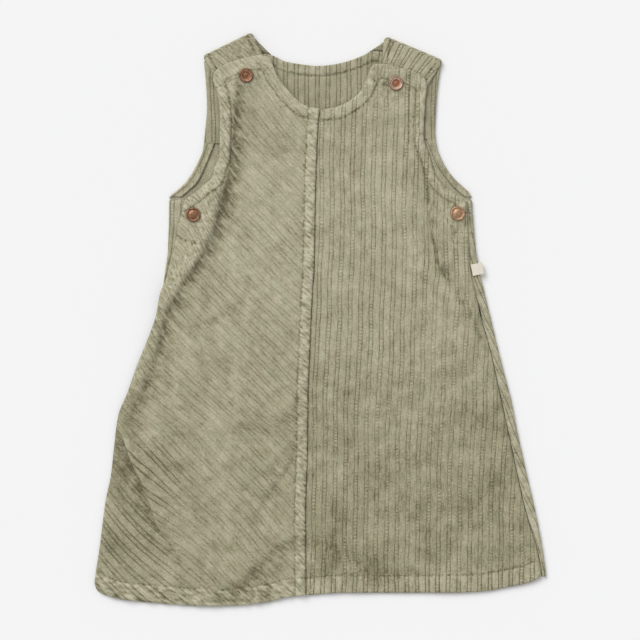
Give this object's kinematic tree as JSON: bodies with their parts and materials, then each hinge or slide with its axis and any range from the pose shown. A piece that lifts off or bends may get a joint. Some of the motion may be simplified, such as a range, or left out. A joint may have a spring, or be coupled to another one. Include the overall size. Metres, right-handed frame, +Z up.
{
  "type": "pinafore dress",
  "caption": "Child's sleeveless A-line pinafore dress in wide-wale corduroy, laid flat: centre front seam, folded shoulder straps with snaps, side snaps and faced neck and armholes.",
  "frame": {"origin": "on the surface that the dress lies on, under the middle of its whole outline", "axes": "+X to the viewer's right, +Y from the hem towards the neck, +Z up from the surface"},
  "size_m": [0.4066, 0.5162, 0.0113],
  "materials": {
    "corduroy": "sage green cotton corduroy with wide and narrow wales",
    "facing": "the same corduroy as a facing, seen inside the neck and armholes",
    "label_tape": "plain cream woven tape",
    "snap_copper": "antique copper plating, satin"
  },
  "bodies": {
    "root": {"back_panel": "corduroy", "front_left_panel": "corduroy", "front_right_panel": "corduroy", "strap_left": "corduroy", "strap_right": "corduroy", "neck_facing": "facing", "strap_facing_left": "facing", "strap_facing_right": "facing", "armhole_facing_left": "facing", "armhole_facing_right": "facing", "seam_label": "label_tape", "shoulder_stud_left": "snap_copper", "shoulder_snap_left": "snap_copper", "shoulder_stud_right": "snap_copper", "shoulder_snap_right": "snap_copper", "side_stud_left": "snap_copper", "side_snap_left": "snap_copper", "side_stud_right": "snap_copper", "side_snap_right": "snap_copper"}
  },
  "joints": []
}
